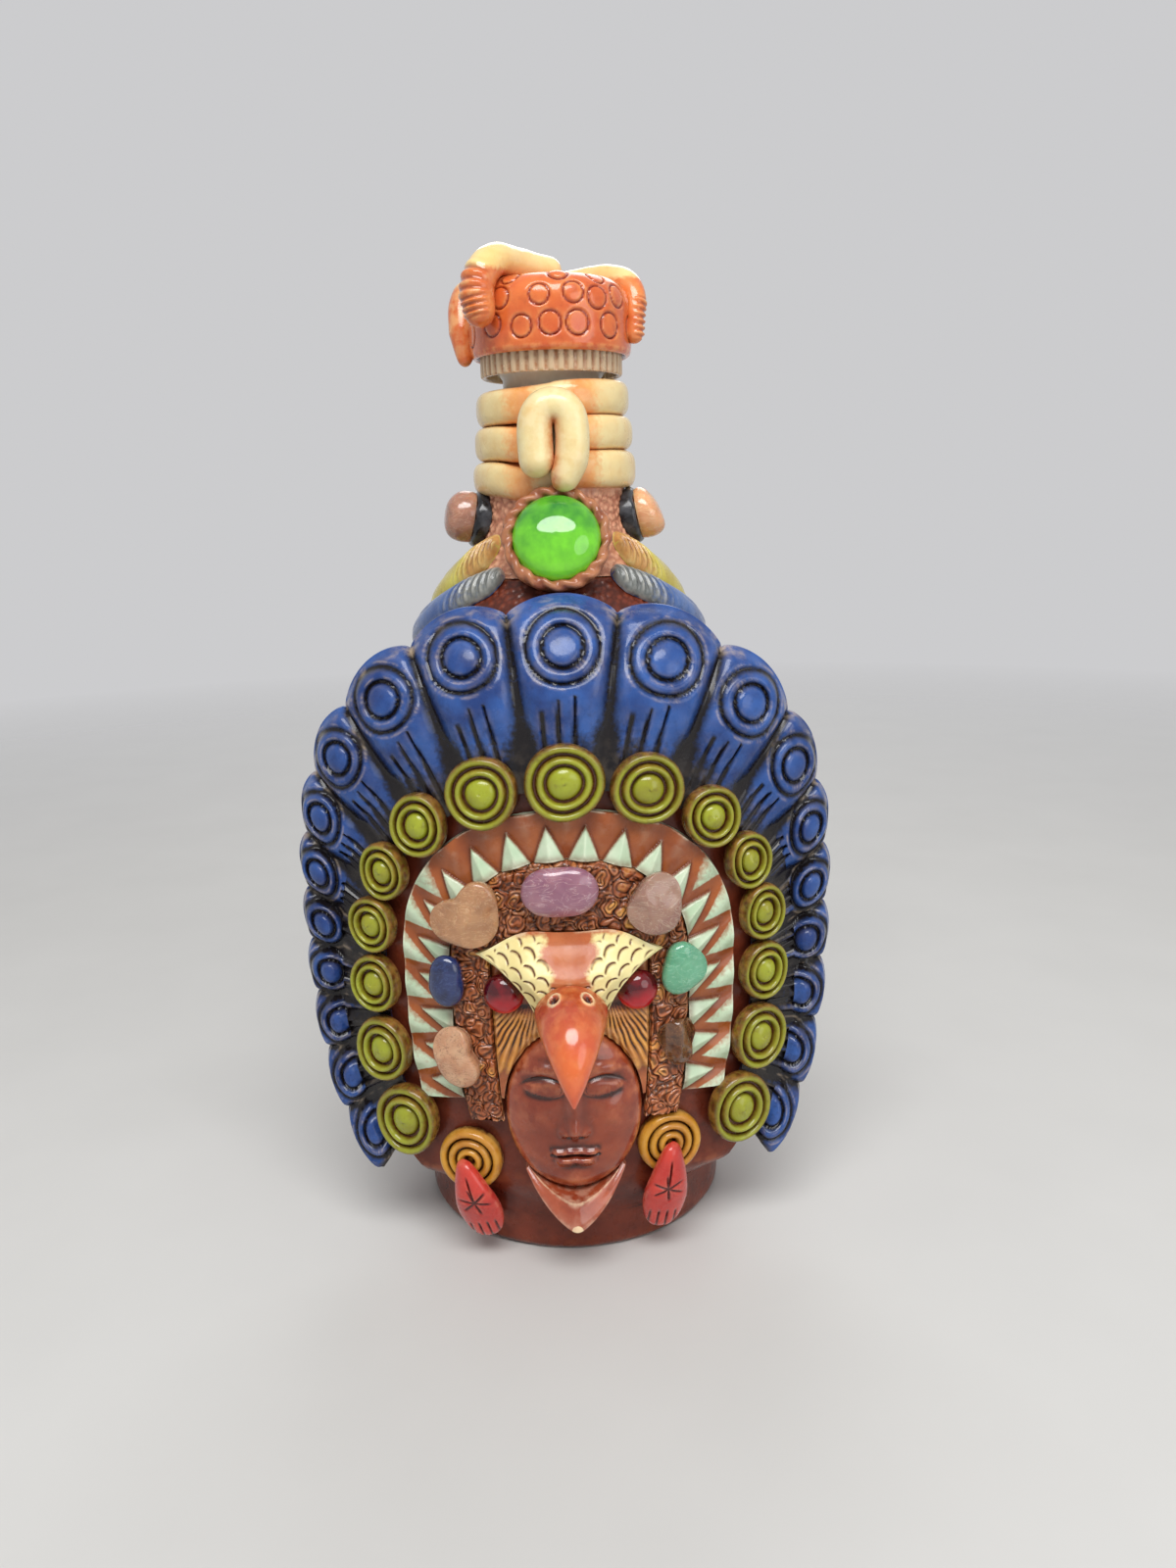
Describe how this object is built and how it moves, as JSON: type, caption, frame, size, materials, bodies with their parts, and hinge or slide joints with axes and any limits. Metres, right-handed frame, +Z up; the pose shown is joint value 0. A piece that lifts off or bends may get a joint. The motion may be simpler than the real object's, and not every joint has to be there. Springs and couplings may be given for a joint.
{
  "type": "figural bottle",
  "caption": "Glass bottle dressed in painted clay as an eagle warrior, with a feather fan, discs, set stones and a clay-covered screw cap that unscrews.",
  "frame": {"origin": "middle of the flat underside, on the bottle's axis", "axes": "+Z up along the bottle, the face looks along -Y, +X to the viewer's right"},
  "size_m": [0.152, 0.1302, 0.2804],
  "materials": {
    "beak_clay": "painted clay under gloss varnish",
    "black_clay": "painted clay under gloss varnish",
    "blue_agate": "tumbled",
    "blue_clay": "painted clay under gloss varnish",
    "bottle_glass": "clear, polished",
    "brown_clay": "painted clay under gloss varnish",
    "clear_plastic": "clear, moulded",
    "cream_clay": "painted clay under gloss varnish",
    "dark_clay": "painted clay under gloss varnish",
    "face_clay": "painted clay under gloss varnish",
    "green_aventurine": "tumbled",
    "green_glass": "polished",
    "hair_clay": "painted clay under gloss varnish",
    "lime_clay": "painted clay under gloss varnish",
    "liner_foam": "closed-cell foam sheet",
    "mauve_jasper": "tumbled",
    "mint_clay": "painted clay under gloss varnish",
    "ochre_clay": "painted clay under gloss varnish",
    "olive_clay": "painted clay under gloss varnish",
    "peach_moonstone": "tumbled",
    "pink_quartz": "tumbled",
    "purple_agate": "tumbled",
    "red_clay": "painted clay under gloss varnish",
    "red_glass": "polished",
    "rust_clay": "painted clay under gloss varnish",
    "tan_jasper": "tumbled",
    "tiger_eye": "tumbled"
  },
  "bodies": {
    "bottle": {"blue_stone_left": "blue_agate", "cabochon_seat": "brown_clay", "clay_body": "brown_clay", "dark_feather_left": "dark_clay", "dark_feather_right": "dark_clay", "disc_01": "lime_clay", "disc_02": "lime_clay", "disc_03": "lime_clay", "disc_04": "lime_clay", "disc_05": "lime_clay", "disc_06": "lime_clay", "disc_07": "lime_clay", "disc_08": "lime_clay", "disc_09": "lime_clay", "disc_10": "lime_clay", "disc_11": "lime_clay", "disc_12": "lime_clay", "disc_13": "lime_clay", "disc_14": "lime_clay", "disc_15": "lime_clay", "eagle_brow": "cream_clay", "eagle_eye_left": "red_glass", "eagle_eye_right": "red_glass", "eagle_head": "hair_clay", "ear_pad_left": "black_clay", "ear_pad_right": "black_clay", "ear_spool_left": "ochre_clay", "ear_spool_right": "ochre_clay", "ear_stone_left": "peach_moonstone", "ear_stone_right": "peach_moonstone", "face_mask": "face_clay", "feather_fan": "blue_clay", "glass_bottle": "bottle_glass", "green_cabochon": "green_glass", "green_stone_right": "green_aventurine", "headdress_core": "brown_clay", "helmet_hair": "hair_clay", "leaf_pendant_left": "red_clay", "leaf_pendant_right": "red_clay", "lower_beak": "beak_clay", "neck_band_lower": "cream_clay", "neck_band_middle": "cream_clay", "neck_band_upper": "cream_clay", "neck_knot": "cream_clay", "neck_sleeve": "brown_clay", "olive_feather_left": "olive_clay", "olive_feather_right": "olive_clay", "pink_stone_left": "pink_quartz", "purple_stone": "purple_agate", "tan_stone_left": "tan_jasper", "tan_stone_right": "mauve_jasper", "tiger_stone_right": "tiger_eye", "tooth_collar": "mint_clay", "upper_beak": "beak_clay"},
    "liner": {"cap_liner": "liner_foam"},
    "cap": {"screw_cap": "clear_plastic", "cap_cover": "rust_clay", "cap_limb_left": "cream_clay", "cap_limb_right": "cream_clay", "cap_limb_rear": "rust_clay"}
  },
  "joints": [
    {"name": "cap_rise", "type": "slide", "parent": "bottle", "child": "liner", "axis": [0, 0, 1], "range_m": [0, 0.018]},
    {"name": "cap_turn", "type": "hinge", "parent": "liner", "child": "cap", "pos_m": [0, 0, 0.2642], "axis": [0, 0, 1], "range_deg": [0, 1621]}
  ],
  "couplings": [
    {"joint": "cap_turn", "follows": "cap_rise", "rad_per_m": 1570.8}
  ]
}
